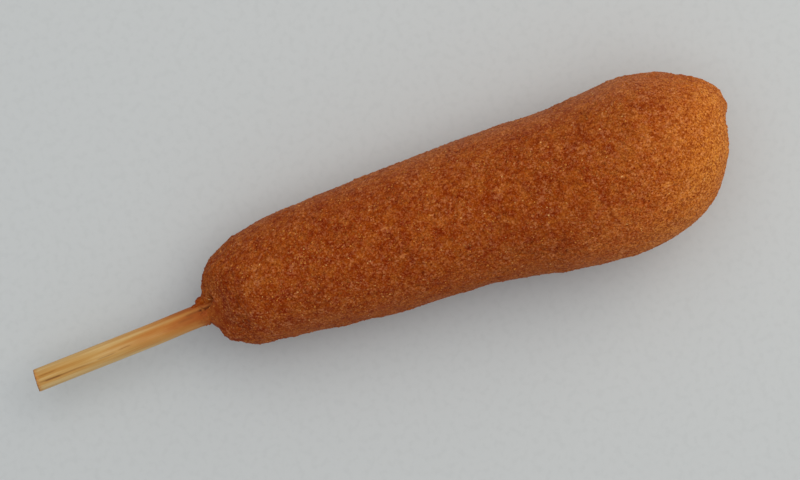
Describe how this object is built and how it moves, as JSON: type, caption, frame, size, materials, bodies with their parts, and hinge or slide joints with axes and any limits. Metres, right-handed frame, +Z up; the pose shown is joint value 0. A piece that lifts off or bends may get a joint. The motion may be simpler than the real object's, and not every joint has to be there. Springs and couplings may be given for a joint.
{
  "type": "corn dog on a stick",
  "caption": "Whole corn dog lying on its side: a tapering, finely pebbled body of brown fried cornmeal batter with a fat round head, on a round wooden stick that shows at its neck.",
  "frame": {"origin": "on the table, at the middle of the bottom of the whole corn dog's box, stick included", "axes": "+X along the corn dog from the stick's free end to the fat head, +Z up from the table, +Y to the left of that way"},
  "size_m": [0.1542, 0.0364, 0.0341],
  "materials": {
    "fried_batter": "deep-fried cornmeal batter: mottled reddish brown and gold, finely pebbled, dry with a faint oily sheen",
    "pale_wood": "bare round birch dowel, pale gold with brown grain streaks, oil-stained and darker towards the batter"
  },
  "bodies": {
    "root": {"batter": "fried_batter", "stick": "pale_wood"}
  },
  "joints": []
}
